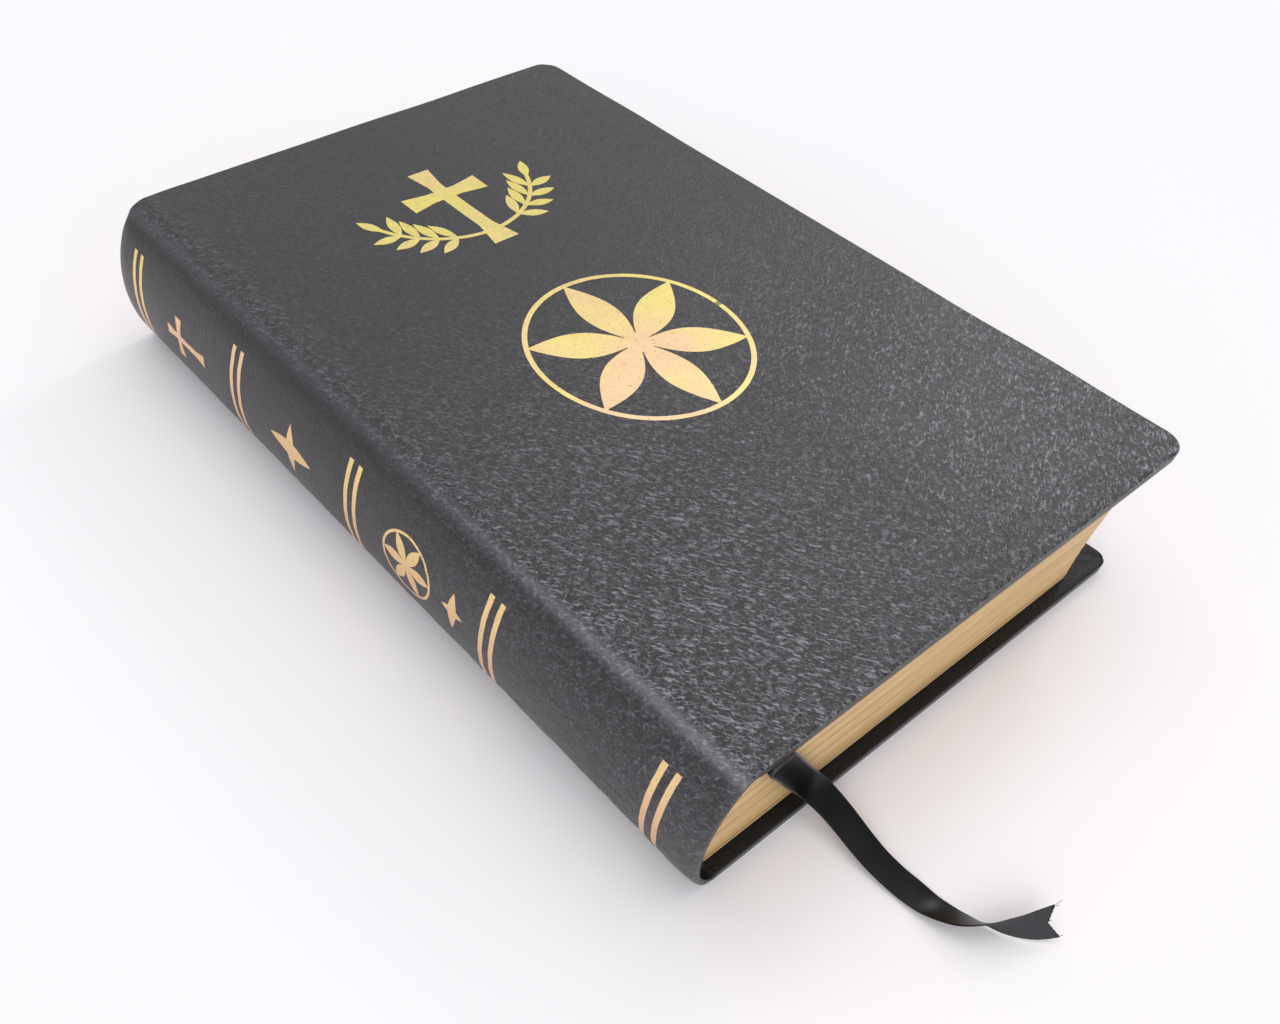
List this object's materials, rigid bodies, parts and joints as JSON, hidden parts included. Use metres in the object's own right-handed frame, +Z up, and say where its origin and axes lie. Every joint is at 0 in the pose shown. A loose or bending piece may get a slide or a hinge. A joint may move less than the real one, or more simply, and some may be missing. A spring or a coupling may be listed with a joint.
{
  "type": "bible",
  "caption": "Flexible leather bible lying closed, with rounded spine, gilt page edges, gold-tooled cover and ribbon marker; covers and first leaves open.",
  "frame": {"origin": "under the middle of the closed case, on the plane the back cover lies on", "axes": "+X from the spine to the fore-edge, +Y from the tail to the head (the way the text reads upright), +Z up, out of the front cover"},
  "size_m": [0.1502, 0.2652, 0.0407],
  "materials": {
    "gilt_bible_paper": "thin printing paper, gilt and burnished on its three cut edges",
    "gold_foil": "thin stamped gold foil, satin",
    "cotton_tape": "woven cotton tape",
    "open_weave_mull": "open-weave cotton, sized",
    "black_lining": "black lining paper, matte",
    "flyleaf_paper": "uncoated cream book paper, heavier than the text leaves, gilt on its cut edges",
    "black_endband": "black thread over a round core",
    "black_grained_leather": "black, fine creased grain, satin sheen",
    "limp_card": "thin flexible card, matte",
    "black_endpaper": "black coated endpaper",
    "satin_ribbon": "black satin weave"
  },
  "bodies": {
    "book_block": {"section_05": "gilt_bible_paper", "section_06": "gilt_bible_paper", "section_07": "gilt_bible_paper", "section_08": "gilt_bible_paper", "section_09": "gilt_bible_paper", "section_10": "gilt_bible_paper", "section_11": "gilt_bible_paper", "section_12": "gilt_bible_paper", "section_13": "gilt_bible_paper", "section_14": "gilt_bible_paper", "section_15": "gilt_bible_paper", "section_16": "gilt_bible_paper", "section_17": "gilt_bible_paper", "section_18": "gilt_bible_paper", "section_19": "gilt_bible_paper", "section_20": "gilt_bible_paper", "section_21": "gilt_bible_paper", "section_22": "gilt_bible_paper", "section_23": "gilt_bible_paper", "section_24": "gilt_bible_paper", "spine_leather": "black_grained_leather", "spine_inlay": "limp_card", "spine_mull": "open_weave_mull", "spine_lining_paper": "black_lining", "sewing_tape_1": "cotton_tape", "sewing_tape_2": "cotton_tape", "sewing_tape_3": "cotton_tape", "sewing_tape_4": "cotton_tape", "headband": "black_endband", "tailband": "black_endband", "ribbon_marker": "satin_ribbon", "spine_rule_01": "gold_foil", "spine_rule_02": "gold_foil", "spine_rule_03": "gold_foil", "spine_rule_04": "gold_foil", "spine_rule_05": "gold_foil", "spine_rule_06": "gold_foil", "spine_rule_07": "gold_foil", "spine_rule_08": "gold_foil", "spine_rule_09": "gold_foil", "spine_rule_10": "gold_foil", "spine_cross_foil": "gold_foil", "spine_lozenge_foil": "gold_foil", "spine_rosette_foil": "gold_foil", "spine_bud_foil": "gold_foil"},
    "front_cover": {"front_cover_leather": "black_grained_leather", "front_board": "limp_card", "front_pastedown": "black_endpaper", "cover_ornament_foil": "gold_foil", "cover_medallion_foil": "gold_foil"},
    "front_flyleaf": {"front_flyleaf": "flyleaf_paper"},
    "first_sections": {"section_01": "gilt_bible_paper", "section_02": "gilt_bible_paper"},
    "second_sections": {"section_03": "gilt_bible_paper", "section_04": "gilt_bible_paper"},
    "back_cover": {"back_cover_leather": "black_grained_leather", "back_board": "limp_card", "back_pastedown": "black_endpaper"},
    "back_flyleaf": {"back_flyleaf": "flyleaf_paper"}
  },
  "joints": [
    {"name": "front_cover_hinge", "type": "hinge", "parent": "book_block", "child": "front_cover", "pos_m": [-0.0679, 0, 0.041], "axis": [0, -1, 0], "range_deg": [0, 180]},
    {"name": "front_flyleaf_turn", "type": "hinge", "parent": "book_block", "child": "front_flyleaf", "pos_m": [-0.0679, 0, 0.041], "axis": [0, -1, 0], "range_deg": [0, 175]},
    {"name": "first_sections_turn", "type": "hinge", "parent": "book_block", "child": "first_sections", "pos_m": [-0.0679, 0, 0.041], "axis": [0, -1, 0], "range_deg": [0, 170]},
    {"name": "second_sections_turn", "type": "hinge", "parent": "book_block", "child": "second_sections", "pos_m": [-0.0679, 0, 0.041], "axis": [0, -1, 0], "range_deg": [0, 163]},
    {"name": "back_cover_hinge", "type": "hinge", "parent": "book_block", "child": "back_cover", "pos_m": [-0.0679, 0, -0.0005], "axis": [0, 1, 0], "range_deg": [0, 180]},
    {"name": "back_flyleaf_turn", "type": "hinge", "parent": "book_block", "child": "back_flyleaf", "pos_m": [-0.0679, 0, -0.0005], "axis": [0, 1, 0], "range_deg": [0, 175]}
  ],
  "couplings": [
    {"joint": "front_flyleaf_turn", "follows": "front_cover_hinge", "ratio": 0.97},
    {"joint": "first_sections_turn", "follows": "front_cover_hinge", "ratio": 0.94},
    {"joint": "second_sections_turn", "follows": "front_cover_hinge", "ratio": 0.9},
    {"joint": "back_flyleaf_turn", "follows": "back_cover_hinge", "ratio": 0.97}
  ]
}
